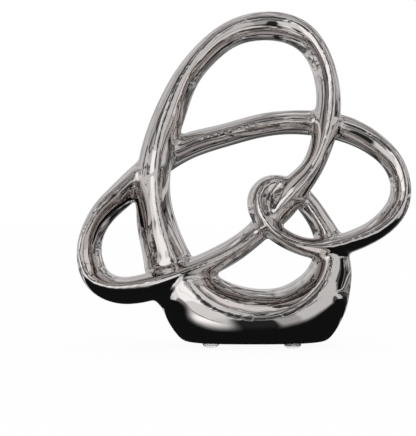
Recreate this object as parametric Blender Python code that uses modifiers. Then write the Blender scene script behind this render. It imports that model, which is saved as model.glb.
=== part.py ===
"""Silver knot sculpture: one endless band of cast ceramic, looped into a knot above its own base.

The band is a loft. Its stations, listed in BAND, say where the middle of the band runs and how wide
and deep the band is there; a closed spline through them carries a lens-shaped section, with a ridge
in front and behind, all the way round. Where the band crosses itself the clay is fused, so the loft
is united with itself, and a level cut makes the underside. Four clear bumper feet hold the cut face
off the table.

Millimetres in the tables below, metres in the scene. +Z is up and the front faces -Y.
"""
import math

import bmesh
import bpy
import numpy as np

MM = 0.001

# ---- driving dimensions, in millimetres ------------------------------------------------------
UNDERSIDE = 3.5           # height of the casting's level underside above the table
EDGE_ROUNDING = 1.6       # how softly the base's sides turn into that underside
FEET_GAP = 0.3            # clearance between a foot and the underside that it is stuck to
FOOT_RADIUS = 6.35        # a half-inch clear bumper
FOOT_CONTACT_RADIUS = 3.0  # the flat spot that the dome stands on
FOOT_SEGMENTS = 20
FOOT_DOME_STEPS = 4

RINGS_PER_STATION = 3     # rings of the loft from one station to the next
SECTION_POINTS = 20       # points round the band's section
# The section is a lens whose outer half fills out where the band is deep: from these depths to those
# powers of the lens, where 1 is the lens itself and 0.5 is an ellipse.
FILLING_DEPTHS = (52.0, 76.0)
FILLING_POWERS = (0.9, 0.65)

# The band's stations, in order, clockwise as seen from the front: up the left leg, over the tall
# loop, through the small ring, round the left loop, across to the right loop, round the ring, down
# the right leg and back along the floor of the base.
# name, (x, y, z) of the band's middle, half-widths (inward, outward) as seen from the front, depth
# front to back, roll in degrees that carries the front ridge outwards.
BAND = [
    ("left leg top",            (-50.0, 5.5, 53.5),      (17.8, 25.5),   61.0,  -6.0),
    ("strand foot",             (-60.5, 5.0, 72.5),      (16.8, 17.5),   59.0,  -8.0),
    ("lower strand",            (-66.0, 2.0, 91.0),      (15.5, 15.2),   57.0, -10.0),
    ("middle strand",           (-68.5, -3.0, 110.5),    (13.5, 13.5),   56.0,  -8.0),
    ("over the arch's start",   (-67.5, -8.0, 134.5),    (12.6, 12.8),   54.0,  -4.0),
    ("upper strand",            (-62.0, -7.0, 158.0),    (12.5, 12.5),   49.0,   2.0),
    ("left shoulder, low",      (-53.5, -4.0, 182.0),    (11.7, 11.3),   46.0,   4.0),
    ("left shoulder",           (-44.0, 0.0, 203.0),     (10.3, 9.6),    44.0,   5.0),
    ("left shoulder, high",     (-29.5, 2.0, 222.0),     (10.4, 8.8),    44.0,   7.0),
    ("crown, left",             (-8.5, 4.0, 238.0),      (10.5, 9.0),    44.0,   9.0),
    ("crown",                   (17.5, 5.0, 243.0),      (10.5, 10.6),   44.0,  11.0),
    ("crown, right",            (39.0, 4.0, 238.0),      (9.8, 10.8),    44.0,  11.0),
    ("right shoulder",          (53.0, 2.0, 225.0),      (8.6, 9.7),     43.0,   9.0),
    ("right strand",            (61.0, -1.0, 204.5),     (8.0, 9.2),     43.0,   9.0),
    ("right strand, low",       (63.5, -5.0, 184.5),     (9.1, 9.4),     43.0,   5.0),
    ("over the arch's end",     (61.0, -8.0, 165.5),     (9.0, 9.8),     42.0,   4.0),
    ("diagonal, high",          (55.7, -10.0, 148.0),    (7.7, 9.2),     41.0,   3.0),
    ("diagonal",                (48.7, -11.0, 133.5),    (7.8, 9.5),     40.0,   2.0),
    ("over the curl",           (37.5, -10.0, 119.5),    (10.3, 11.3),   43.0,   0.0),
    ("inside the ring",         (26.5, -4.0, 107.0),     (10.0, 13.2),   43.0,   0.0),
    ("under the ring",          (13.0, 5.0, 90.5),       (8.2, 10.0),    43.0,   0.0),
    ("cross strand",            (-4.5, 4.0, 76.0),       (8.0, 10.0),    44.0,   0.0),
    ("cross strand, low",       (-24.0, -6.0, 65.0),     (8.5, 10.2),    47.0,  -1.0),
    ("over the left leg",       (-43.0, -12.5, 56.5),    (9.0, 10.1),    50.0,  -5.0),
    ("left loop floor, in",     (-61.0, -13.0, 49.5),    (9.8, 11.3),    53.0,  -8.0),
    ("left loop floor",         (-78.5, -10.0, 44.4),    (10.0, 11.5),   54.0, -10.0),
    ("left loop floor, out",    (-96.0, -6.0, 43.5),     (9.8, 10.8),    54.0,  -6.0),
    ("left loop corner",        (-110.5, -2.0, 52.0),    (9.2, 10.2),    54.0,   8.0),
    ("left loop side",          (-116.8, 0.0, 69.0),     (8.5, 9.0),     54.0,  14.0),
    ("left loop side, high",    (-115.0, 2.0, 85.5),     (8.5, 8.2),     54.0,  11.0),
    ("left loop rise",          (-107.0, 4.0, 100.5),    (9.2, 8.9),     54.0,  10.0),
    ("left loop top",           (-93.5, 7.0, 115.0),     (10.6, 9.5),    54.0,   8.0),
    ("under the strand",        (-70.0, 8.0, 135.0),     (10.5, 11.0),   52.0,   5.0),
    ("arch start",              (-44.0, 8.0, 151.5),     (10.5, 10.0),   47.0,   2.0),
    ("arch, left",              (-16.5, 6.0, 159.5),     (9.0, 8.8),     44.0,   3.0),
    ("arch",                    (14.0, 6.0, 167.5),      (9.0, 9.0),     43.0,   3.0),
    ("arch, right",             (40.5, 8.0, 170.0),      (9.2, 9.2),     43.0,   3.0),
    ("under the right strand",  (63.5, 8.0, 168.0),      (10.0, 10.0),   40.0,   5.0),
    ("right loop start",        (82.5, 6.0, 162.5),      (9.8, 9.8),     35.0,   9.0),
    ("right loop shoulder",     (101.0, 3.0, 151.5),     (8.7, 8.7),     31.0,  13.0),
    ("right loop side, high",   (114.0, 1.0, 136.0),     (7.3, 8.3),     30.0,  14.0),
    ("right loop side",         (118.5, 0.0, 118.0),     (7.4, 8.1),     30.0,  10.0),
    ("right loop side, low",    (113.5, -2.0, 102.5),    (8.3, 8.8),     33.0,   6.0),
    ("right loop corner",       (98.5, -5.0, 88.3),      (7.9, 8.5),     37.0,   1.0),
    ("right loop floor",        (79.5, -8.0, 79.7),      (7.6, 8.7),     40.0,  -4.0),
    ("over the right leg",      (60.0, -10.0, 75.0),     (7.1, 9.0),     43.0,  -5.0),
    ("ring floor",              (41.0, -11.0, 77.5),     (6.2, 7.8),     41.0,  -3.0),
    ("ring, left of floor",     (24.5, -11.0, 85.5),     (7.1, 7.1),     42.0,   0.0),
    ("over the diagonal",       (14.0, -10.0, 97.5),     (8.3, 8.3),     41.0,   0.0),
    ("curl side",               (11.0, -6.0, 110.5),     (8.7, 8.9),     41.0,   0.0),
    ("curl shoulder",           (17.5, -1.0, 121.0),     (8.3, 7.7),     41.0,   0.0),
    ("curl top",                (29.0, 4.0, 123.0),      (7.5, 6.5),     41.0,   0.0),
    ("under the diagonal",      (40.0, 8.0, 117.5),      (8.5, 7.5),     42.0,   0.0),
    ("tail, high",              (48.5, 9.0, 106.0),      (7.2, 9.6),     42.0,   0.0),
    ("tail",                    (57.0, 7.0, 92.5),       (7.2, 10.2),    45.0,   0.0),
    ("under the ring's floor",  (63.0, 4.0, 78.0),       (9.5, 13.0),    48.0,   0.0),
    ("right leg",               (62.5, 2.0, 63.5),       (11.0, 19.4),   56.0,   0.0),
    ("right leg, low",          (58.5, 1.0, 52.3),       (12.3, 24.5),   66.0,   0.0),
    ("base, right corner",      (51.5, 0.0, 42.5),       (13.9, 31.5),   76.0,   0.0),
    ("base, right",             (39.5, 0.0, 32.8),       (15.7, 38.0),   84.0,   0.0),
    ("base floor, right",       (25.0, 0.0, 26.2),       (18.0, 39.0),   87.0,   0.0),
    ("base floor",              (6.0, 0.0, 24.3),        (19.6, 38.0),   87.0,   0.0),
    ("base floor, left",        (-14.5, 0.0, 28.5),      (20.0, 41.0),   87.0,   0.0),
    ("base, left corner",       (-31.0, 0.0, 37.2),      (19.8, 34.0),   84.0,   0.0),
    ("left leg",                (-41.5, 2.5, 47.0),      (19.2, 28.6),   72.0,  -3.0),
]

# Where the bumper feet sit: node name, (x, y) of the foot's centre.
FEET = {
    "foot_front_left": (-25.0, -8.0),
    "foot_back_left": (-25.0, 8.0),
    "foot_front_right": (36.0, -15.0),
    "foot_back_right": (36.0, 15.0),
}

# ---- finishes --------------------------------------------------------------------------------
SILVER_LUSTRE = {"color": (0.74, 0.72, 0.70), "roughness": 0.06, "metallic": 1.0, "transmission": 0.0}
CLEAR_VINYL = {"color": (0.86, 0.88, 0.90), "roughness": 0.25, "metallic": 0.0, "transmission": 0.8}


def clear_scene():
    """Remove the objects that the file starts with."""
    for old in list(bpy.data.objects):
        bpy.data.objects.remove(old, do_unlink=True)


def new_collection(name):
    collection = bpy.data.collections.new(name)
    bpy.context.scene.collection.children.link(collection)
    return collection


def finish(name, values):
    """A Principled material from one of the finishes above."""
    material = bpy.data.materials.new(name)
    material.use_nodes = True
    shader = material.node_tree.nodes["Principled BSDF"]
    shader.inputs["Base Color"].default_value = (*values["color"], 1.0)
    shader.inputs["Roughness"].default_value = values["roughness"]
    shader.inputs["Metallic"].default_value = values["metallic"]
    shader.inputs["Transmission Weight"].default_value = values["transmission"]
    return material


def spline_slopes(values, gaps):
    """Slopes at the stations of the closed cubic spline whose curvature has no jumps."""
    count = len(values)
    system = np.zeros((count, count))
    right = np.zeros_like(values)
    for i in range(count):
        before, after = gaps[i - 1], gaps[i]
        following = (i + 1) % count
        system[i, i - 1] += 1 / before
        system[i, i] += 2 / before + 2 / after
        system[i, following] += 1 / after
        rise_before = (values[i] - values[i - 1]) / before**2
        rise_after = (values[following] - values[i]) / after**2
        right[i] = 3 * (rise_before + rise_after)
    return np.linalg.solve(system, right)


def closed_spline(values, gaps, steps):
    """Points and directions along the closed spline, steps of them from each station to the next."""
    slopes = spline_slopes(values, gaps)
    points, directions = [], []
    for i, gap in enumerate(gaps):
        following = (i + 1) % len(gaps)
        start, end = values[i], values[following]
        leave, arrive = slopes[i] * gap, slopes[following] * gap
        for t in np.arange(steps) / steps:
            points.append(start * (2 * t**3 - 3 * t**2 + 1) + end * (3 * t**2 - 2 * t**3)
                          + leave * (t**3 - 2 * t**2 + t) + arrive * (t**3 - t**2))
            directions.append((start - end) * (6 * t**2 - 6 * t)
                              + leave * (3 * t**2 - 4 * t + 1) + arrive * (3 * t**2 - 2 * t))
    return np.array(points), np.array(directions)


def section_ring(centre, direction, inward, outward, depth, roll):
    """One lens-shaped ring of the band, square to its direction, in millimetres."""
    along = direction / np.linalg.norm(direction)
    back = np.array((0.0, 1.0, 0.0)) - along[1] * along
    back /= np.linalg.norm(back)
    out = np.cross(along, back)
    turns = 2 * math.pi * np.arange(SECTION_POINTS) / SECTION_POINTS
    lens = np.cos(turns) ** 2
    filled = lens ** np.interp(depth, FILLING_DEPTHS, FILLING_POWERS)
    side = np.where(np.cos(turns) > 0, outward * filled, -inward * lens)
    deep = depth / 2 * np.sin(turns)
    lean = math.radians(roll)
    across = side * math.cos(lean) - deep * math.sin(lean)
    deep = side * math.sin(lean) + deep * math.cos(lean)
    across *= np.where(across > 0, outward / across.max(), -inward / across.min())
    return centre + np.outer(across, out) + np.outer(deep, back)


def settle(height):
    """Flatten what would reach below the underside, with a soft turn, a little under the cut."""
    lowest = UNDERSIDE - FEET_GAP
    return lowest + EDGE_ROUNDING * np.logaddexp(0.0, (height - lowest) / EDGE_ROUNDING)


def band_mesh():
    """The whole endless band as one closed tube that passes through itself at its crossings."""
    rows = np.array([(*place, *widths, depth, roll) for _, place, widths, depth, roll in BAND])
    ahead = np.roll(rows, -1, axis=0)
    gaps = np.sqrt(np.linalg.norm((ahead - rows)[:, :3], axis=1))
    samples, directions = closed_spline(rows, gaps, RINGS_PER_STATION)
    mesh = bmesh.new()
    rings = []
    for sample, direction in zip(samples, directions):
        ring = section_ring(sample[:3], direction[:3], *sample[3:])
        for point in ring:
            point[2] = settle(point[2])
        rings.append([mesh.verts.new(point * MM) for point in ring])
    for ring, following in zip(rings, rings[1:] + rings[:1]):
        for k in range(SECTION_POINTS):
            j = (k + 1) % SECTION_POINTS
            mesh.faces.new((ring[k], ring[j], following[j], following[k]))
    bmesh.ops.recalc_face_normals(mesh, faces=mesh.faces)
    return mesh


def level_cutter(collection):
    """A slab whose top face is the level of the underside."""
    size = (0.30, 0.20, 0.02)
    mesh = bmesh.new()
    bmesh.ops.create_cube(mesh, size=1.0)
    bmesh.ops.scale(mesh, verts=mesh.verts, vec=size)
    data = bpy.data.meshes.new("underside_cutter")
    mesh.to_mesh(data)
    mesh.free()
    cutter = bpy.data.objects.new("underside_cutter", data)
    cutter.location.z = UNDERSIDE * MM - size[2] / 2
    cutter.hide_render = True
    cutter.display_type = "WIRE"
    collection.objects.link(cutter)
    return cutter


def knot_casting(collection, cutter, material):
    """The casting: the band united with itself and cut level underneath."""
    data = bpy.data.meshes.new("knot_casting")
    mesh = band_mesh()
    mesh.to_mesh(data)
    mesh.free()
    data.shade_smooth()
    data.set_sharp_from_angle(angle=math.radians(40))
    data.materials.append(material)
    casting = bpy.data.objects.new("knot_casting", data)
    collection.objects.link(casting)
    cut = casting.modifiers.new("level underside", "BOOLEAN")
    cut.operation = "DIFFERENCE"
    cut.solver = "EXACT"
    cut.use_self = True
    cut.object = cutter
    return casting


def foot_profile():
    """Half of a bumper's outline, from the middle of its top round its dome to its flat spot."""
    top = UNDERSIDE - FEET_GAP
    profile = [(0.0, top), (FOOT_RADIUS, top)]
    for k in range(1, FOOT_DOME_STEPS + 1):
        turn = math.pi / 2 * k / FOOT_DOME_STEPS
        radius = FOOT_CONTACT_RADIUS + (FOOT_RADIUS - FOOT_CONTACT_RADIUS) * math.cos(turn)
        profile.append((radius, top * (1 - math.sin(turn))))
    profile.append((0.0, 0.0))
    return profile


def bumper_foot(name, place, collection, material):
    """A clear domed bumper: a profile turned by a Screw modifier."""
    mesh = bmesh.new()
    points = [mesh.verts.new((radius * MM, 0.0, height * MM)) for radius, height in foot_profile()]
    for upper, lower in zip(points, points[1:]):
        mesh.edges.new((upper, lower))
    data = bpy.data.meshes.new(name)
    mesh.to_mesh(data)
    mesh.free()
    data.materials.append(material)
    foot = bpy.data.objects.new(name, data)
    foot.location = (place[0] * MM, place[1] * MM, 0.0)
    collection.objects.link(foot)
    screw = foot.modifiers.new("turned dome", "SCREW")
    screw.steps = FOOT_SEGMENTS
    screw.render_steps = FOOT_SEGMENTS
    screw.use_merge_vertices = True
    screw.merge_threshold = 0.00005
    screw.use_smooth_shade = True
    return foot


def main():
    clear_scene()
    sculpture = new_collection("knot_sculpture")
    cutters = new_collection("cutters")
    cutter = level_cutter(cutters)
    knot_casting(sculpture, cutter, finish("silver lustre", SILVER_LUSTRE))
    vinyl = finish("clear vinyl", CLEAR_VINYL)
    for name, place in FEET.items():
        bumper_foot(name, place, sculpture, vinyl)


main()
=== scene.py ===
# %% [markdown]
# # A silver knot ornament
#
# The real object is a table ornament. One ceramic band winds into a knot, fuses with itself where it
# crosses, and lands in a wide base of its own. It is slip-cast hollow, glazed smooth, and then given a
# silver lustre as bright as a mirror. Four clear bumpers keep it off the table.
#
# This notebook loads the solid model as a fixed frame, models the glossy casting and its feet around
# it, and sets up a plain studio. Lengths are in metres unless a name says otherwise, +Z is up, and
# the front of the ornament faces -Y.

# %% Load the frame
import math

import bmesh
import bpy
import numpy as np
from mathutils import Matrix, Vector


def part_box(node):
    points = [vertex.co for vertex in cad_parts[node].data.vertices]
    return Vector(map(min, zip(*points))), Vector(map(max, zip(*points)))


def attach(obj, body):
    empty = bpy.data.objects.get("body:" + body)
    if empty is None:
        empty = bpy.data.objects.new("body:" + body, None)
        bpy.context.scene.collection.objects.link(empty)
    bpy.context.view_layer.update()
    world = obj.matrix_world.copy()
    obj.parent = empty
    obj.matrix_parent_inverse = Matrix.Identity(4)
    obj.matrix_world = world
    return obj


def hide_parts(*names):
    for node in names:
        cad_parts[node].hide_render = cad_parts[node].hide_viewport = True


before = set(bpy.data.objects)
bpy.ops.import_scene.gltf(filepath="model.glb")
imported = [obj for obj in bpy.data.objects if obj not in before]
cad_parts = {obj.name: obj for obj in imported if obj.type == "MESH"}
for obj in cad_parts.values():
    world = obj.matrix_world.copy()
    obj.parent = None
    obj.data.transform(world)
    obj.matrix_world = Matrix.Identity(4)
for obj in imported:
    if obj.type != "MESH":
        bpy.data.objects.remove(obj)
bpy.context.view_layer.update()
print("frame nodes:", ", ".join(sorted(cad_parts)))

# %% [markdown]
# ## The camera
#
# A small ornament is best seen from about a metre away through a long lens, so that near and far
# loops keep their sizes. The camera stands level, a little under the middle of the ornament
# and a little to its left, which shows the floor of the base's arch from above and the rest straight
# on. A level camera keeps upright edges upright with no lens shift.

# %% Place the camera
CAMERA_PLACE = Vector((-0.02725, -1.100, 0.097))
LENS_MM = 125.7
SENSOR_MM = 36.0

lens = bpy.data.cameras.new("portrait_camera")
lens.sensor_fit = "HORIZONTAL"
lens.sensor_width = SENSOR_MM
lens.lens = LENS_MM
camera = bpy.data.objects.new("portrait_camera", lens)
camera.location = CAMERA_PLACE
camera.rotation_euler = (math.radians(90.0), 0.0, 0.0)
bpy.context.scene.collection.objects.link(camera)
bpy.context.scene.camera = camera
print("camera", tuple(round(value, 3) for value in CAMERA_PLACE), "lens", LENS_MM, "mm")

# %% [markdown]
# ## The band's stations
#
# The whole knot is one endless band. A potter's model maker would draw its path first and then say
# how wide and how deep the band is along the way, and so do we. Each station has a name, the place of
# the band's front-to-back middle, its half-widths towards the inside and the outside of the turn, its
# depth from front to back, and a roll that leans the front ridge outwards. The stations run clockwise
# as seen from the front: up the left leg, over the tall loop, through the small ring, round the left
# loop, along the arch, round the right loop and the ring, down the right leg and back along the base.
# The same stations made the solid, so the glossy skin sits where the solid is.

# %% Stations of the band, in millimetres
# name, (x, y, z), (inward, outward) half-widths from the front, depth, roll in degrees
BAND = [
    ("left leg top",            (-50.0, 5.5, 53.5),      (17.8, 25.5),   61.0,  -6.0),
    ("strand foot",             (-60.5, 5.0, 72.5),      (16.8, 17.5),   59.0,  -8.0),
    ("lower strand",            (-66.0, 2.0, 91.0),      (15.5, 15.2),   57.0, -10.0),
    ("middle strand",           (-68.5, -3.0, 110.5),    (13.5, 13.5),   56.0,  -8.0),
    ("over the arch's start",   (-67.5, -8.0, 134.5),    (12.6, 12.8),   54.0,  -4.0),
    ("upper strand",            (-62.0, -7.0, 158.0),    (12.5, 12.5),   49.0,   2.0),
    ("left shoulder, low",      (-53.5, -4.0, 182.0),    (11.7, 11.3),   46.0,   4.0),
    ("left shoulder",           (-44.0, 0.0, 203.0),     (10.3, 9.6),    44.0,   5.0),
    ("left shoulder, high",     (-29.5, 2.0, 222.0),     (10.4, 8.8),    44.0,   7.0),
    ("crown, left",             (-8.5, 4.0, 238.0),      (10.5, 9.0),    44.0,   9.0),
    ("crown",                   (17.5, 5.0, 243.0),      (10.5, 10.6),   44.0,  11.0),
    ("crown, right",            (39.0, 4.0, 238.0),      (9.8, 10.8),    44.0,  11.0),
    ("right shoulder",          (53.0, 2.0, 225.0),      (8.6, 9.7),     43.0,   9.0),
    ("right strand",            (61.0, -1.0, 204.5),     (8.0, 9.2),     43.0,   9.0),
    ("right strand, low",       (63.5, -5.0, 184.5),     (9.1, 9.4),     43.0,   5.0),
    ("over the arch's end",     (61.0, -8.0, 165.5),     (9.0, 9.8),     42.0,   4.0),
    ("diagonal, high",          (55.7, -10.0, 148.0),    (7.7, 9.2),     41.0,   3.0),
    ("diagonal",                (48.7, -11.0, 133.5),    (7.8, 9.5),     40.0,   2.0),
    ("over the curl",           (37.5, -10.0, 119.5),    (10.3, 11.3),   43.0,   0.0),
    ("inside the ring",         (26.5, -4.0, 107.0),     (10.0, 13.2),   43.0,   0.0),
    ("under the ring",          (13.0, 5.0, 90.5),       (8.2, 10.0),    43.0,   0.0),
    ("cross strand",            (-4.5, 4.0, 76.0),       (8.0, 10.0),    44.0,   0.0),
    ("cross strand, low",       (-24.0, -6.0, 65.0),     (8.5, 10.2),    47.0,  -1.0),
    ("over the left leg",       (-43.0, -12.5, 56.5),    (9.0, 10.1),    50.0,  -5.0),
    ("left loop floor, in",     (-61.0, -13.0, 49.5),    (9.8, 11.3),    53.0,  -8.0),
    ("left loop floor",         (-78.5, -10.0, 44.4),    (10.0, 11.5),   54.0, -10.0),
    ("left loop floor, out",    (-96.0, -6.0, 43.5),     (9.8, 10.8),    54.0,  -6.0),
    ("left loop corner",        (-110.5, -2.0, 52.0),    (9.2, 10.2),    54.0,   8.0),
    ("left loop side",          (-116.8, 0.0, 69.0),     (8.5, 9.0),     54.0,  14.0),
    ("left loop side, high",    (-115.0, 2.0, 85.5),     (8.5, 8.2),     54.0,  11.0),
    ("left loop rise",          (-107.0, 4.0, 100.5),    (9.2, 8.9),     54.0,  10.0),
    ("left loop top",           (-93.5, 7.0, 115.0),     (10.6, 9.5),    54.0,   8.0),
    ("under the strand",        (-70.0, 8.0, 135.0),     (10.5, 11.0),   52.0,   5.0),
    ("arch start",              (-44.0, 8.0, 151.5),     (10.5, 10.0),   47.0,   2.0),
    ("arch, left",              (-16.5, 6.0, 159.5),     (9.0, 8.8),     44.0,   3.0),
    ("arch",                    (14.0, 6.0, 167.5),      (9.0, 9.0),     43.0,   3.0),
    ("arch, right",             (40.5, 8.0, 170.0),      (9.2, 9.2),     43.0,   3.0),
    ("under the right strand",  (63.5, 8.0, 168.0),      (10.0, 10.0),   40.0,   5.0),
    ("right loop start",        (82.5, 6.0, 162.5),      (9.8, 9.8),     35.0,   9.0),
    ("right loop shoulder",     (101.0, 3.0, 151.5),     (8.7, 8.7),     31.0,  13.0),
    ("right loop side, high",   (114.0, 1.0, 136.0),     (7.3, 8.3),     30.0,  14.0),
    ("right loop side",         (118.5, 0.0, 118.0),     (7.4, 8.1),     30.0,  10.0),
    ("right loop side, low",    (113.5, -2.0, 102.5),    (8.3, 8.8),     33.0,   6.0),
    ("right loop corner",       (98.5, -5.0, 88.3),      (7.9, 8.5),     37.0,   1.0),
    ("right loop floor",        (79.5, -8.0, 79.7),      (7.6, 8.7),     40.0,  -4.0),
    ("over the right leg",      (60.0, -10.0, 75.0),     (7.1, 9.0),     43.0,  -5.0),
    ("ring floor",              (41.0, -11.0, 77.5),     (6.2, 7.8),     41.0,  -3.0),
    ("ring, left of floor",     (24.5, -11.0, 85.5),     (7.1, 7.1),     42.0,   0.0),
    ("over the diagonal",       (14.0, -10.0, 97.5),     (8.3, 8.3),     41.0,   0.0),
    ("curl side",               (11.0, -6.0, 110.5),     (8.7, 8.9),     41.0,   0.0),
    ("curl shoulder",           (17.5, -1.0, 121.0),     (8.3, 7.7),     41.0,   0.0),
    ("curl top",                (29.0, 4.0, 123.0),      (7.5, 6.5),     41.0,   0.0),
    ("under the diagonal",      (40.0, 8.0, 117.5),      (8.5, 7.5),     42.0,   0.0),
    ("tail, high",              (48.5, 9.0, 106.0),      (7.2, 9.6),     42.0,   0.0),
    ("tail",                    (57.0, 7.0, 92.5),       (7.2, 10.2),    45.0,   0.0),
    ("under the ring's floor",  (63.0, 4.0, 78.0),       (9.5, 13.0),    48.0,   0.0),
    ("right leg",               (62.5, 2.0, 63.5),       (11.0, 19.4),   56.0,   0.0),
    ("right leg, low",          (58.5, 1.0, 52.3),       (12.3, 24.5),   66.0,   0.0),
    ("base, right corner",      (51.5, 0.0, 42.5),       (13.9, 31.5),   76.0,   0.0),
    ("base, right",             (39.5, 0.0, 32.8),       (15.7, 38.0),   84.0,   0.0),
    ("base floor, right",       (25.0, 0.0, 26.2),       (18.0, 39.0),   87.0,   0.0),
    ("base floor",              (6.0, 0.0, 24.3),        (19.6, 38.0),   87.0,   0.0),
    ("base floor, left",        (-14.5, 0.0, 28.5),      (20.0, 41.0),   87.0,   0.0),
    ("base, left corner",       (-31.0, 0.0, 37.2),      (19.8, 34.0),   84.0,   0.0),
    ("left leg",                (-41.5, 2.5, 47.0),      (19.2, 28.6),   72.0,  -3.0),
]
print(len(BAND), "stations from", BAND[0][0], "to", BAND[-1][0])

# %% [markdown]
# ## A smooth line through the stations
#
# A mirror shows every kink, so the path needs a curve whose bend never jumps. A closed cubic spline
# does that: its slopes at the stations come from one small set of equations that asks each pair of
# neighbouring spans to bend alike where they meet. Widths, depth and roll ride on the same spline as
# the place, so the section swells and thins as smoothly as the path turns.

# %% The closed spline
MM = 0.001
RINGS_PER_STATION = 8


def spline_slopes(values, gaps):
    """Slopes at the stations of the closed cubic spline whose curvature has no jumps."""
    count = len(values)
    system = np.zeros((count, count))
    right = np.zeros_like(values)
    for i in range(count):
        before, after = gaps[i - 1], gaps[i]
        following = (i + 1) % count
        system[i, i - 1] += 1 / before
        system[i, i] += 2 / before + 2 / after
        system[i, following] += 1 / after
        rise_before = (values[i] - values[i - 1]) / before**2
        rise_after = (values[following] - values[i]) / after**2
        right[i] = 3 * (rise_before + rise_after)
    return np.linalg.solve(system, right)


def closed_spline(values, gaps, steps):
    """Rows and their directions along the closed spline, steps of them from station to station."""
    slopes = spline_slopes(values, gaps)
    rows, directions = [], []
    for i, gap in enumerate(gaps):
        following = (i + 1) % len(gaps)
        start, end = values[i], values[following]
        leave, arrive = slopes[i] * gap, slopes[following] * gap
        for t in np.arange(steps) / steps:
            rows.append(start * (2 * t**3 - 3 * t**2 + 1) + end * (3 * t**2 - 2 * t**3)
                        + leave * (t**3 - 2 * t**2 + t) + arrive * (t**3 - t**2))
            directions.append((start - end) * (6 * t**2 - 6 * t)
                              + leave * (3 * t**2 - 4 * t + 1) + arrive * (3 * t**2 - 2 * t))
    return np.array(rows), np.array(directions)


stations = np.array([(*place, *widths, depth, roll) for _, place, widths, depth, roll in BAND])
steps_between = np.linalg.norm((np.roll(stations, -1, axis=0) - stations)[:, :3], axis=1)
rows, directions = closed_spline(stations, np.sqrt(steps_between), RINGS_PER_STATION)
print(len(rows), "rings along", round(float(steps_between.sum())), "mm of band")

# %% [markdown]
# ## Draw the band out, ring by ring
#
# The band could be a bevelled curve, but a bevel keeps one section all the way and this one changes
# from a slim lens at the top to a broad keel in the base. So it is drawn out the way clay is pulled:
# one circle is made, and its edge is extruded again and again. After each extrude the new ring is
# shaped to its own lens, with a ridge in front and behind. The lens's outer half fills out towards an
# ellipse where the band is deep. A number kept on each vertex says how far round the section it sits,
# and every extruded vertex inherits it. Bridging the last ring to the first closes the band.

# %% Draw the band
SECTION_POINTS = 48
FILLING_DEPTHS = (52.0, 76.0)
FILLING_POWERS = (0.9, 0.65)   # 1 is the lens itself, 0.5 is an ellipse
UNDERSIDE = 3.5            # height of the level underside, in millimetres
EDGE_ROUNDING = 1.6        # how softly the sides turn into the underside


def settle(height):
    """Flatten what would reach below the underside, with a soft turn."""
    return UNDERSIDE + EDGE_ROUNDING * np.logaddexp(0.0, (height - UNDERSIDE) / EDGE_ROUNDING)


def shape_ring(ring, around, row, direction):
    """Shape one ring of vertices to the band's lens at this row, square to the band."""
    centre, (inward, outward, depth, roll) = row[:3], row[3:]
    along = direction[:3] / np.linalg.norm(direction[:3])
    back = np.array((0.0, 1.0, 0.0)) - along[1] * along
    back /= np.linalg.norm(back)
    out = np.cross(along, back)
    turns = np.array([vert[around] for vert in ring])
    lens = np.cos(turns) ** 2
    filled = lens ** np.interp(depth, FILLING_DEPTHS, FILLING_POWERS)
    side = np.where(np.cos(turns) > 0, outward * filled, -inward * lens)
    deep = depth / 2 * np.sin(turns)
    lean = math.radians(roll)
    across = side * math.cos(lean) - deep * math.sin(lean)
    deep = side * math.sin(lean) + deep * math.cos(lean)
    across *= np.where(across > 0, outward / across.max(), -inward / across.min())
    for vert, sideways, backwards in zip(ring, across, deep):
        place = centre + sideways * out + backwards * back
        vert.co = (place[0] * MM, place[1] * MM, settle(place[2]) * MM)


def draw_band():
    """The endless band as one closed tube that still passes through itself at its crossings."""
    mesh = bmesh.new()
    around = mesh.verts.layers.float.new("around")
    bmesh.ops.create_circle(mesh, segments=SECTION_POINTS, radius=1.0)
    for vert in mesh.verts:
        vert[around] = math.atan2(vert.co.y, vert.co.x)
    first_edges = edges = list(mesh.edges)
    shape_ring(list(mesh.verts), around, rows[0], directions[0])
    for row, direction in zip(rows[1:], directions[1:]):
        drawn = bmesh.ops.extrude_edge_only(mesh, edges=edges)["geom"]
        ring = [item for item in drawn if isinstance(item, bmesh.types.BMVert)]
        edges = [item for item in drawn if isinstance(item, bmesh.types.BMEdge)
                 and item.verts[0] in ring and item.verts[1] in ring]
        shape_ring(ring, around, row, direction)
    bmesh.ops.bridge_loops(mesh, edges=first_edges + edges)
    bmesh.ops.recalc_face_normals(mesh, faces=mesh.faces)
    return mesh


band = draw_band()
open_edges = sum(not edge.is_manifold for edge in band.edges)
print("drawn band:", len(band.verts), "vertices,", open_edges, "open edges")

# %% [markdown]
# ## Fuse the crossings into one skin
#
# In the mould there is no inside surface where the band meets itself: the slip runs together. A voxel
# remesh does the same. It asks what is inside, throws the hidden walls away, and wraps one even skin
# round the rest, fine enough to keep the ridges. The skin comes out in tiny steps, and a few rounds
# of smoothing take those away. The same smoothing softens each crossing, as glaze does when it melts
# and pulls into a corner.

# %% Fuse the band
VOXEL = 0.0014
SKIN_ROUNDS = 12


def piece_from(mesh, name):
    """Turn a bmesh into an object that lies at the origin with its place in its mesh."""
    data = bpy.data.meshes.new(name)
    mesh.to_mesh(data)
    mesh.free()
    piece = bpy.data.objects.new(name, data)
    bpy.context.scene.collection.objects.link(piece)
    return piece


def apply_modifiers(piece):
    """Replace the piece's mesh by what its modifiers make of it."""
    bpy.context.view_layer.update()
    made = piece.evaluated_get(bpy.context.evaluated_depsgraph_get())
    finished = bpy.data.meshes.new_from_object(made)
    piece.modifiers.clear()
    piece.data = finished


casting = piece_from(band, "knot_ornament")
fuse = casting.modifiers.new("fused crossings", "REMESH")
fuse.mode = "VOXEL"
fuse.voxel_size = VOXEL
apply_modifiers(casting)
print("fused skin:", len(casting.data.vertices), "vertices,", len(casting.data.polygons), "faces")

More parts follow.
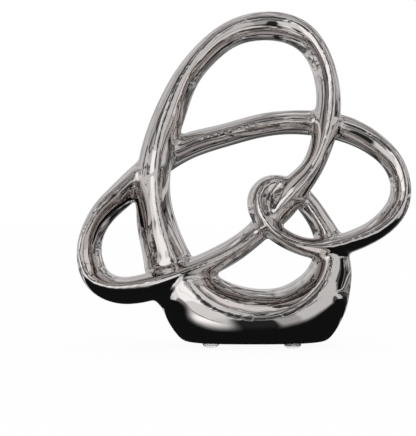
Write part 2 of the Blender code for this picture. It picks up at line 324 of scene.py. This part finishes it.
# %% [markdown]
# ## Pull the glaze into the crotches
#
# Most joints are crisp, but where two bands part at a narrow angle the glaze pools and rounds the
# corner off. Those crotches get extra rounds of smoothing, over a patch that shrinks a little with
# each round so that its rim never shows.

# %% Soften the skin
# name, (x, y, z) in millimetres, radius of the patch
CROTCHES = [
    ("foot of the middle opening", (-35.6, -4.0, 69.7), 11.0),
    ("below the ring's crossing",  (16.7, -4.0, 80.3), 9.0),
    ("left loop and base",         (-67.4, 0.0, 33.4), 12.0),
    ("left loop's shoulder",       (-78.7, 0.0, 137.1), 11.0),
    ("right loop and tail",        (72.7, -2.0, 85.6), 9.0),
]
CROTCH_ROUNDS = 20
PATCH_SHRINK = 0.5         # how much of its radius a patch loses over its rounds
SMOOTHING = 0.5            # how far each round moves a vertex towards its neighbours


def smooth(mesh, verts):
    """One round of smoothing over these vertices."""
    bmesh.ops.smooth_vert(mesh, verts=verts, factor=SMOOTHING, use_axis_x=True, use_axis_y=True,
                          use_axis_z=True)


mesh = bmesh.new()
mesh.from_mesh(casting.data)
for _ in range(SKIN_ROUNDS):
    smooth(mesh, mesh.verts)
for name, place, radius in CROTCHES:
    centre = Vector(place) * MM
    patch = [vert for vert in mesh.verts if (vert.co - centre).length < radius * MM]
    for turn in range(CROTCH_ROUNDS):
        reach = radius * MM * (1.0 - PATCH_SHRINK * turn / CROTCH_ROUNDS)
        smooth(mesh, [vert for vert in patch if (vert.co - centre).length < reach])
    print(name, "-", len(patch), "vertices softened")
for face in mesh.faces:
    face.smooth = True
mesh.to_mesh(casting.data)
mesh.free()
print("casting:", sum(len(face.vertices) - 2 for face in casting.data.polygons), "triangles")

# %% [markdown]
# ## The clear bumper feet
#
# Each foot is a half-inch stick-on bumper of clear soft vinyl: a flat top that grips the underside, a
# short straight wall and a dome worn to a small flat. It is turned on a lathe in effect, so one
# profile is drawn as a few vertices and spun round its own axis.

# %% Turn the feet
FOOT_STEPS = 48
DOME_STEPS = 10
CONTACT_RADIUS = 0.0030    # the flat that the dome stands on
RIM = 0.0004               # the top edge's bevel, and the straight wall below it
MERGE_DISTANCE = 0.00001   # closes the spin's seam and poles


def bumper_foot(node):
    """A clear bumper where the frame's node is, spun from its profile."""
    low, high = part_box(node)
    middle, radius, height = (low + high) / 2, (high.x - low.x) / 2, high.z - low.z
    profile = [(0.0, high.z), (radius - RIM, high.z), (radius, high.z - RIM)]
    for step in range(DOME_STEPS + 1):
        turn = math.pi / 2 * step / DOME_STEPS
        profile.append((CONTACT_RADIUS + (radius - CONTACT_RADIUS) * math.cos(turn),
                        low.z + (height - 2 * RIM) * (1 - math.sin(turn))))
    profile.append((0.0, low.z))
    mesh = bmesh.new()
    verts = [mesh.verts.new((middle.x + out, middle.y, level)) for out, level in profile]
    edges = [mesh.edges.new(pair) for pair in zip(verts, verts[1:])]
    bmesh.ops.spin(mesh, geom=verts + edges, cent=(middle.x, middle.y, 0.0), axis=(0, 0, 1),
                   angle=2 * math.pi, steps=FOOT_STEPS, use_merge=True)
    bmesh.ops.remove_doubles(mesh, verts=mesh.verts, dist=MERGE_DISTANCE)
    bmesh.ops.recalc_face_normals(mesh, faces=mesh.faces)
    for face in mesh.faces:
        face.smooth = True
    foot = piece_from(mesh, node.replace("foot", "bumper"))
    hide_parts(node)
    return foot


feet = [bumper_foot(node) for node in sorted(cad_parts) if node.startswith("foot_")]
print(len(feet), "feet, each", len(feet[0].data.polygons), "faces")

# %% [markdown]
# ## Shading maths in plain Python
#
# Materials are easier to read as sums than as a web of nodes. A Wire stands for one socket: adding,
# subtracting, multiplying or dividing wires adds the Math nodes. Everything else comes from add_node,
# which sets a node's options before it fills its sockets.

# %% Wires and nodes
class Wire:
    """One socket of a node tree, on which + - * and / work by adding Math nodes."""

    def __init__(self, tree, socket):
        self.tree, self.socket = tree, socket

    def other_output(self, name):
        """Another output of the same node."""
        return Wire(self.tree, self.socket.node.outputs[name])

    def __add__(self, other):
        return maths(self.tree, "ADD", self, other)

    def __radd__(self, other):
        return maths(self.tree, "ADD", other, self)

    def __sub__(self, other):
        return maths(self.tree, "SUBTRACT", self, other)

    def __rsub__(self, other):
        return maths(self.tree, "SUBTRACT", other, self)

    def __mul__(self, other):
        return maths(self.tree, "MULTIPLY", self, other)

    def __rmul__(self, other):
        return maths(self.tree, "MULTIPLY", other, self)

    def __truediv__(self, other):
        return maths(self.tree, "DIVIDE", self, other)

    def __rtruediv__(self, other):
        return maths(self.tree, "DIVIDE", other, self)


def add_node(tree, kind, settings=None, sockets=None, output=0):
    """Add a node, set its options, then fill its sockets with values or wires."""
    node = tree.nodes.new(kind)
    for name, value in (settings or {}).items():
        setattr(node, name, value)
    for name, value in (sockets or {}).items():
        if isinstance(value, Wire):
            tree.links.new(value.socket, node.inputs[name])
        else:
            node.inputs[name].default_value = value
    return Wire(tree, node.outputs[output]) if node.outputs else None


def maths(tree, operation, first, second=0.0):
    """A Math node; operations of one number leave the second alone."""
    return add_node(tree, "ShaderNodeMath", {"operation": operation}, {0: first, 1: second})


def new_material(name):
    """An empty material and its node tree."""
    material = bpy.data.materials.new(name)
    material.use_nodes = True
    material.node_tree.nodes.clear()
    return material, material.node_tree


print("wires can be added, subtracted, multiplied and divided")

# %% [markdown]
# ## Silver lustre
#
# The lustre is a film of metal fired on a glaze. It reflects like dark chrome with a breath of warmth,
# and it is a real metal surface, so Metallic is 1 and the colour sets how bright the mirror is. The
# glaze under it is never quite flat. Slow waves bend the reflections a little, which a bump does
# without touching the shape, and the warmth drifts over the piece.

# %% Mix the silver lustre
LUSTRE_PALE = (0.74, 0.712, 0.702, 1.0)
LUSTRE_WARM = (0.67, 0.632, 0.617, 1.0)


def silver_lustre():
    """Bright warm metal with slow waves and a trace of haze."""
    material, tree = new_material("silver lustre")
    place = add_node(tree, "ShaderNodeTexCoord", output="Object")
    drift = add_node(tree, "ShaderNodeTexNoise", {"noise_dimensions": "3D"},
                     {"Vector": place, "Scale": 14.0, "Detail": 2.0, "Roughness": 0.45})
    colour = add_node(tree, "ShaderNodeMix", {"data_type": "RGBA"},
                      {0: drift, 6: LUSTRE_PALE, 7: LUSTRE_WARM}, output=2)
    waves = add_node(tree, "ShaderNodeTexNoise", {"noise_dimensions": "3D"},
                     {"Vector": place, "Scale": 60.0, "Detail": 1.0, "Roughness": 0.4})
    normal = add_node(tree, "ShaderNodeBump", {}, {"Height": waves, "Strength": 0.3, "Distance": 0.001})
    haze = add_node(tree, "ShaderNodeTexNoise", {"noise_dimensions": "3D"},
                    {"Vector": place, "Scale": 90.0, "Detail": 4.0, "Roughness": 0.6})
    shader = add_node(tree, "ShaderNodeBsdfPrincipled", {}, {
        "Base Color": colour, "Metallic": 1.0, "Roughness": 0.004 + 0.014 * haze, "Normal": normal})
    add_node(tree, "ShaderNodeOutputMaterial", {}, {"Surface": shader})
    return material


lustre = silver_lustre()
print(lustre.name, "has", len(lustre.node_tree.nodes), "nodes")


# %% [markdown]
# ## Clear vinyl
#
# The bumpers are clear, slightly milky and softly glossy. Transmission lets the light through, and a
# little roughness clouds what shows behind.

# %% Mix the clear vinyl
def clear_vinyl():
    """Clear plastic with a slightly cloudy skin."""
    material, tree = new_material("clear vinyl")
    place = add_node(tree, "ShaderNodeTexCoord", output="Object")
    cloud = add_node(tree, "ShaderNodeTexNoise", {"noise_dimensions": "3D"},
                     {"Vector": place, "Scale": 300.0, "Detail": 2.0})
    shader = add_node(tree, "ShaderNodeBsdfPrincipled", {}, {
        "Base Color": (0.95, 0.96, 0.97, 1.0), "Roughness": 0.05 + 0.06 * cloud,
        "Transmission Weight": 0.95, "IOR": 1.5})
    add_node(tree, "ShaderNodeOutputMaterial", {}, {"Surface": shader})
    return material


vinyl = clear_vinyl()
print(vinyl.name, "has", len(vinyl.node_tree.nodes), "nodes")

# %% [markdown]
# ## Dress the ornament
#
# Each piece gets its finish, takes the place of the solid that it was drawn over, and rides on the
# root, because nothing on this ornament moves.

# %% Dress the pieces
casting.data.materials.clear()
casting.data.materials.append(lustre)
for foot in feet:
    foot.data.materials.append(vinyl)
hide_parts("knot_casting")
for piece in [casting, *feet]:
    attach(piece, "root")
print("dressed", 1 + len(feet), "pieces")

# %% [markdown]
# ## Panels as soft-edged patches
#
# A mirror has no look of its own: it shows the room. Bright metal is lit with large soft panels that
# have dark gaps between them, and most streaks on it are the edges of panels. Both the room and the
# table top are painted from one kind of thing, a patch with a middle, half-sizes, a brightness and a
# soft edge. Later patches lie over earlier ones, so a dark one works as a black card. A pool is the
# same with a round edge, which suits light and shade that lie on the table.

# %% Paint patches and pools
def grey(tree, brightness):
    """A neutral colour of this brightness."""
    return add_node(tree, "ShaderNodeCombineColor", {"mode": "RGB"},
                    {"Red": brightness, "Green": brightness, "Blue": brightness})


def ease(tree, value, start, end, from_value, to_value):
    """Go smoothly from one value to another while the input goes from start to end."""
    return add_node(tree, "ShaderNodeMapRange", {"interpolation_type": "SMOOTHSTEP"}, {
        "Value": value, "From Min": start, "From Max": end, "To Min": from_value, "To Max": to_value})


def fade(tree, distance, half, soft):
    """1 within the half-width, 0 outside, with a soft edge."""
    return ease(tree, distance, half - soft, half + soft, 1.0, 0.0)


def split(tree, vector):
    """The three numbers of a vector, each on a wire."""
    first = add_node(tree, "ShaderNodeSeparateXYZ", {}, {"Vector": vector}, output="X")
    return first, first.other_output("Y"), first.other_output("Z")


def lay_patches(tree, ground, first, second, patches, full_turn=None):
    """Lay the patches over the ground's brightness; a full turn makes the first number a bearing."""
    for _, (first_middle, second_middle), (first_half, second_half), brightness, soft in patches:
        sideways = maths(tree, "ABSOLUTE", first - first_middle)
        if full_turn:
            sideways = maths(tree, "MINIMUM", sideways, full_turn - sideways)
        upwards = maths(tree, "ABSOLUTE", second - second_middle)
        mask = fade(tree, sideways, first_half, soft) * fade(tree, upwards, second_half, soft)
        ground = ground + mask * (brightness - ground)
    return ground


def lay_pools(tree, ground, first, second, pools):
    """Lay round-edged pools of light or shade over the ground's brightness."""
    for _, (first_middle, second_middle), (first_half, second_half), brightness, soft in pools:
        sideways = (first - first_middle) / first_half
        upwards = (second - second_middle) / second_half
        out = maths(tree, "SQRT", sideways * sideways + upwards * upwards)
        ground = ground + fade(tree, out, 1.0, soft) * (brightness - ground)
    return ground


print("patches and pools ready")

# %% [markdown]
# ## Clutter in the dim parts
#
# No room is a set of clean cards. Between the panels stand furniture, cloths and cables, and a mirror
# squeezes all of that into mottling and thin dark lines. Two noises imitate it. A broad one lifts and
# lowers the tone, and the line where a slower one crosses its middle value draws the thin lines. Bright
# panels stay clean, because real ones are plain white cloth.

# %% Scatter the clutter
CLUTTER_SCALE = 5.0        # size of the mottling; a larger number is finer
CLUTTER_SPAN = 0.35, 0.60  # the noise goes from its darkest to its brightest tone between these
CLUTTER_TONES = 0.45, 1.80  # darkest and brightest tone, as factors of the ground's own
LINE_SCALE = 4.0           # how closely the thin lines wind
LINE_WIDTH = 0.055         # how far from the noise's middle value a line reaches
LINE_TONE = 0.04           # a line's darkness, as a factor
CLEAN_FROM = 0.62, 0.85    # between these brightnesses the clutter fades out


def clutter(tree, ground, place):
    """Break the dim parts of a brightness up with mottling and thin dark lines."""
    broad = add_node(tree, "ShaderNodeTexNoise", {"noise_dimensions": "3D"},
                     {"Vector": place, "Scale": CLUTTER_SCALE, "Detail": 3.0, "Roughness": 0.5})
    winding = add_node(tree, "ShaderNodeTexNoise", {"noise_dimensions": "3D"},
                       {"Vector": place, "Scale": LINE_SCALE, "Detail": 1.0, "Roughness": 0.4})
    from_line = maths(tree, "ABSOLUTE", winding - 0.5)
    lines = ease(tree, from_line, 0.0, LINE_WIDTH, LINE_TONE, 1.0)
    tones = ease(tree, broad, *CLUTTER_SPAN, *CLUTTER_TONES)
    dim = ease(tree, ground, *CLEAN_FROM, 1.0, 0.0)
    return ground * (1.0 + dim * (tones * lines - 1.0))


print("clutter tones", CLUTTER_TONES)

# %% [markdown]
# ## The floor
#
# The ornament stands on a plain white floor that runs on to a white horizon. It is a little over-lit,
# as a white sweep in a studio is, so only a faint shadow is left on it: the floor is mostly plain
# white light, mixed with a little real paper. In a mirror a table top is not one tone. It is bright in
# front, where the soft panels light it, and black close behind the ornament, in its own shade. That is
# why the undersides of the low loops are black while those of the tall loop, which see the table from
# higher up and so farther out, stay pale.

# %% Lay the floor
FLOOR_REACH = 30.0
BURNT_OUT = 0.94           # how far the white floor is over-lit

scene = bpy.context.scene
scene.view_settings.view_transform = "Standard"
mesh = bmesh.new()
bmesh.ops.create_grid(mesh, x_segments=1, y_segments=1, size=FLOOR_REACH)
floor = piece_from(mesh, "studio_floor")
material, tree = new_material("pale floor")
floor.data.materials.append(material)
paper = add_node(tree, "ShaderNodeBsdfPrincipled", {}, {
    "Base Color": (0.92, 0.92, 0.92, 1.0), "Roughness": 0.9, "Specular IOR Level": 0.2})
white = add_node(tree, "ShaderNodeEmission", {}, {"Color": (1.0, 1.0, 1.0, 1.0), "Strength": 1.0})
plain = add_node(tree, "ShaderNodeMixShader", {}, {0: BURNT_OUT, 1: paper, 2: white})
print("floor", 2 * FLOOR_REACH, "m across")

# %% [markdown]
# ## The table that mirrors see
#
# The picture of the table is painted in three coats: patches for the broad tones, clutter over them,
# and pools for the light and shade close to the ornament, which stay clean. The clutter's marks grow
# with their distance from the ornament. Otherwise the metal, which makes far things look small, would
# turn the far marks into dust and the near ones into broad blots.

# %% Paint the table
PAPER = 0.93               # the table's own brightness
DIMMER = 0.77              # one dimmer for all panels and for the table seen in mirrors
NEAREST = 0.05             # keeps the log of the distance finite in the middle, in metres
# name, middle (x, y), half-sizes, brightness, softness; metres
TABLE_PATCHES = [
    ("grey beyond",          (1.2, 6.2),     (1.5, 6.0),    0.4,  0.06),
    ("pale far left",        (-1.4, 1.3),    (1.05, 1.0),   0.65, 0.15),
    ("dim far right",        (1.6, 1.25),    (0.75, 0.65),  0.15, 0.25),
    ("dim strip behind",     (-0.09, 0.48),  (0.24, 0.26),  0.17, 0.03),
    ("shaded left",          (-0.45, 0.13),  (0.22, 0.13),  0.33, 0.07),
    ("behind the middle",    (0.06, 0.16),   (0.09, 0.11),  0.24, 0.01),
    ("first dark line",      (0.04, 0.122),  (0.1, 0.007),  0.02, 0.003),
    ("first lit line",       (0.04, 0.157),  (0.12, 0.015), 0.38, 0.006),
    ("second dark line",     (0.04, 0.29),   (0.15, 0.03),  0.07, 0.01),
    ("second lit line",      (0.02, 0.385),  (0.15, 0.04),  0.24, 0.01),
    ("third dark line",      (0.0, 0.64),    (0.3, 0.07),   0.06, 0.02),
    ("lit gap behind",       (-0.11, 0.17),  (0.03, 0.04),  0.8,  0.01),
    ("lit line in the dim",  (-0.032, 0.42), (0.01, 0.14),  0.48, 0.005),
    ("dark line behind",     (-0.003, 0.27), (0.011, 0.14), 0.05, 0.004),
    ("left pool",            (-1.4, -0.72),  (1.27, 0.66),  1.6,  0.03),
    ("low pool",             (-0.42, -0.03), (0.22, 0.04),  1.3,  0.03),
    ("grey in front",        (0.01, -0.75),  (0.085, 0.61), 0.25, 0.012),
    ("grey in front, right", (0.2, -0.38),   (0.11, 0.19),  0.55, 0.02),
    ("dark far right",       (0.6, 0.21),    (0.3, 0.09),   0.05, 0.05),
]

# name, middle (x, y), half-axes in metres, brightness, softness as a part of the half-axes
TABLE_POOLS = [
    ("pool by the base",            (-0.1, -0.13),    (0.095, 0.085),  1.15, 0.1),
    ("glow by the base",            (-0.045, -0.053), (0.026, 0.011),  1.8,  0.55),
    ("line by the glow",            (-0.066, -0.064), (0.042, 0.0015), 0.3,  0.5),
    ("left loop's shade",           (-0.17, -0.048),  (0.09, 0.026),   0.3,  0.3),
    ("camera's shade",              (0.012, -0.085),  (0.026, 0.06),   0.03, 0.28),
    ("right of the camera's shade", (0.05, -0.115),   (0.022, 0.075),  0.6,  0.2),
    ("shade right of the base",     (0.25, 0.0),      (0.17, 0.03),    0.12, 0.3),
    ("shade under the left loop",   (-0.125, 0.045),  (0.095, 0.1),    0.01, 0.12),
    ("shade under the base",        (0.045, 0.0),     (0.155, 0.06),   0.01, 0.13),
    ("base's shade, left end",      (-0.1, -0.005),   (0.065, 0.034),  0.01, 0.35),
    ("lit line behind",             (0.106, 0.12),    (0.009, 0.055),  0.7,  0.2),
    ("shade under the right loop",  (0.205, 0.075),   (0.095, 0.09),   0.01, 0.1),
    ("right loop's shade, far end", (0.25, 0.16),     (0.09, 0.06),    0.02, 0.15),
]

across, away, _ = split(tree, add_node(tree, "ShaderNodeTexCoord", output="Object"))
reach = maths(tree, "SQRT", across * across + away * away) + NEAREST
outwards = add_node(tree, "ShaderNodeCombineXYZ", {}, {
    "X": across / reach, "Y": away / reach, "Z": maths(tree, "LOGARITHM", reach, math.e)})
table = lay_patches(tree, PAPER, across, away, TABLE_PATCHES)
table = clutter(tree, table, outwards)
table = lay_pools(tree, table, across, away, TABLE_POOLS)
print(len(TABLE_PATCHES), "patches and", len(TABLE_POOLS), "pools on the table")

# %% [markdown]
# ## Who sees which floor
#
# A Light Path node tells rays apart. Rays that come from the metal get the picture of the table and
# everything else gets the plain floor. Light that went through a clear foot counts as glossy too, but
# it should find the plain floor, or the feet would look black.

# %% Join the two floors
mirrored = add_node(tree, "ShaderNodeEmission", {}, {
    "Color": grey(tree, DIMMER * table), "Strength": 1.0})
glossy = add_node(tree, "ShaderNodeLightPath", output="Is Glossy Ray")
in_mirror = glossy * (1.0 - glossy.other_output("Is Transmission Ray"))
surface = add_node(tree, "ShaderNodeMixShader", {}, {0: in_mirror, 1: plain, 2: mirrored})
add_node(tree, "ShaderNodeOutputMaterial", {}, {"Surface": surface})
print(material.name, "has", len(tree.nodes), "nodes")

# %% [markdown]
# ## The room
#
# The room is a list of panels on the world, each placed by its compass bearing seen from above (0 is
# the camera's side, 90 the right, 180 behind) and its height over the horizon. A world keeps its
# place when the camera walks round, as a real studio does. The panels are placed to suit the view
# from the front. From other sides they only make a believable studio.

# %% Hang the panels
DIM_ROOM = 0.45            # the brightness between the panels
# name, middle (bearing, height), half-sizes, brightness, softness; degrees
ROOM_PATCHES = [
    ("ceiling behind",        (180, 70),  (60, 12),  0.8,  4.0),
    ("sweep, left half",      (-150, 20), (36, 23),  0.77, 3.0),
    ("sweep, high",           (-165, 50), (17, 10),  0.7,  3.0),
    ("above the sweep",       (-125, 46), (26, 6),   0.28, 2.0),
    ("sweep, right half",     (166, 25),  (14, 33),  0.68, 4.0),
    ("right behind",          (135, 18),  (18, 18),  0.55, 3.0),
    ("high right behind",     (135, 42),  (18, 7),   0.36, 2.0),
    ("low on the right",      (128, -1),  (17, 4),   0.22, 1.5),
    ("left back",             (-105, 12), (9, 18),   0.52, 2.0),
    ("left black",            (-109, 34), (6, 6),    0.02, 1.0),
    ("softbox, low",          (-58, 7),   (35, 13),  1.65, 2.0),
    ("softbox, high",         (-72, 30),  (18, 9),   1.25, 1.5),
    ("softbox, stripe",       (-92, 27),  (15, 2.5), 0.38, 1.0),
    ("softbox, right part",   (-38, 28),  (14, 8),   0.85, 2.0),
    ("gap beside the sweep",  (-105, 28), (10, 3),   0.1,  0.8),
    ("edge of the sweep",     (-121, 9),  (2, 7),    0.06, 0.8),
    ("line on the right",     (129, 11),  (1.5, 9),  0.2,  0.6),
    ("flag",                  (-73, 45),  (37, 5.5), 0.14, 1.5),
    ("upper softbox",         (-42, 57),  (20, 6),   0.65, 2.0),
    ("upper left",            (-85, 66),  (15, 9),   0.28, 3.0),
    ("left of the camera",    (-17, 28),  (6, 15),   0.45, 2.0),
    ("behind the camera",     (12, 36),   (21, 22),  0.12, 2.0),
    ("camera and stand",      (3, 9),     (9, 13),   0.04, 1.0),
    ("right softbox",         (65, 5),    (31, 13),  0.95, 1.5),
    ("right softbox, middle", (66, 33),   (31, 15),  0.62, 3.0),
    ("right softbox, top",    (62, 60),   (42, 8),   1.05, 2.0),
    ("right ceiling",         (65, 74),   (42, 7),   0.85, 2.0),
    ("right stand",           (106, 7),   (4.5, 7),  0.02, 0.8),
    ("frame by the camera",   (-22, 8),   (1.5, 14), 0.05, 0.6),
    ("frame on the right",    (32, 8),    (1.5, 14), 0.06, 0.6),
]

world = bpy.data.worlds.new("studio")
world.use_nodes = True
tree = world.node_tree
tree.nodes.clear()
scene.world = world
direction = add_node(tree, "ShaderNodeTexCoord", output="Generated")
across, away, up = split(tree, direction)
bearing = maths(tree, "ARCTAN2", across, 0.0 - away) * math.degrees(1.0)
height = maths(tree, "ARCSINE", up) * math.degrees(1.0)
room = lay_patches(tree, DIM_ROOM, bearing, height, ROOM_PATCHES, full_turn=360.0)
room = DIMMER * clutter(tree, room, direction)
print(len(ROOM_PATCHES), "panels hung")

# %% [markdown]
# ## What each kind of ray sees
#
# The floor needs even light from all sides to stay pale, the camera should see clean white past the
# ornament, and only mirrors should see the panels. The Light Path node tells these rays apart.

# %% Light the set
WHITE_BEYOND = 1.0
FLOOR_LIGHT = 1.08
seen = add_node(tree, "ShaderNodeLightPath", output="Is Camera Ray")
room = room + seen * (WHITE_BEYOND - room)
room = room + seen.other_output("Is Diffuse Ray") * (FLOOR_LIGHT - room)
back = add_node(tree, "ShaderNodeBackground", {}, {"Color": grey(tree, room), "Strength": 1.0})
add_node(tree, "ShaderNodeOutputWorld", {}, {"Surface": back})
print(world.name, "has", len(tree.nodes), "nodes")
